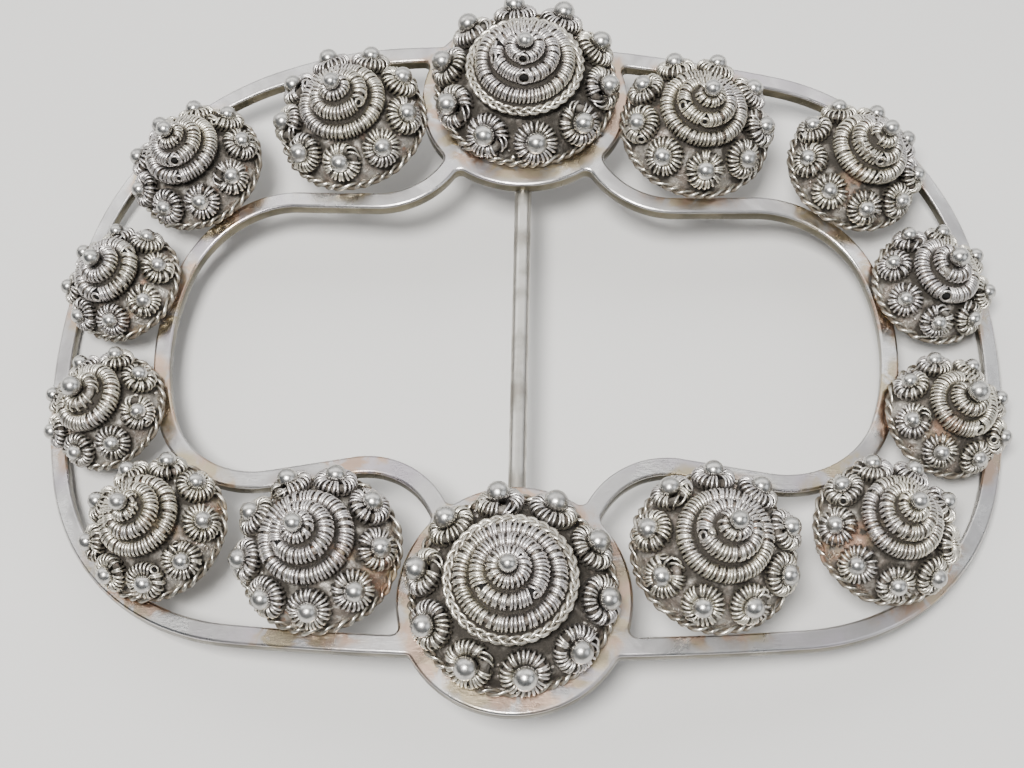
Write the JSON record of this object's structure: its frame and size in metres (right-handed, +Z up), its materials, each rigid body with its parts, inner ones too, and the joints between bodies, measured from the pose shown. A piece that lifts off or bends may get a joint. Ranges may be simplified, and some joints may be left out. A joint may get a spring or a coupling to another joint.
{
  "type": "filigree belt buckle",
  "caption": "Arched open-frame belt buckle in aged silver, with a strap bar across a waisted opening and a ring of domed filigree buttons.",
  "frame": {"origin": "under the middle of the buckle, on the surface that its two ends rest on", "axes": "+X along the buckle to the right, +Y across it towards the top, +Z up out of its face; the bar runs along Y"},
  "size_m": [0.088, 0.0688, 0.0186],
  "materials": {
    "frame_silver": "worn silver, polished on top and tarnished at the sides",
    "bar_silver": "drawn silver rod, lightly worn",
    "filigree_silver": "aged silver filigree, bright on the wire and dark in the recesses"
  },
  "bodies": {
    "root": {"frame": "frame_silver", "bar": "bar_silver", "button_top": "filigree_silver", "button_bottom": "filigree_silver", "button_left_1": "filigree_silver", "button_left_2": "filigree_silver", "button_left_3": "filigree_silver", "button_left_4": "filigree_silver", "button_left_5": "filigree_silver", "button_left_6": "filigree_silver", "button_right_1": "filigree_silver", "button_right_2": "filigree_silver", "button_right_3": "filigree_silver", "button_right_4": "filigree_silver", "button_right_5": "filigree_silver", "button_right_6": "filigree_silver"}
  },
  "joints": []
}
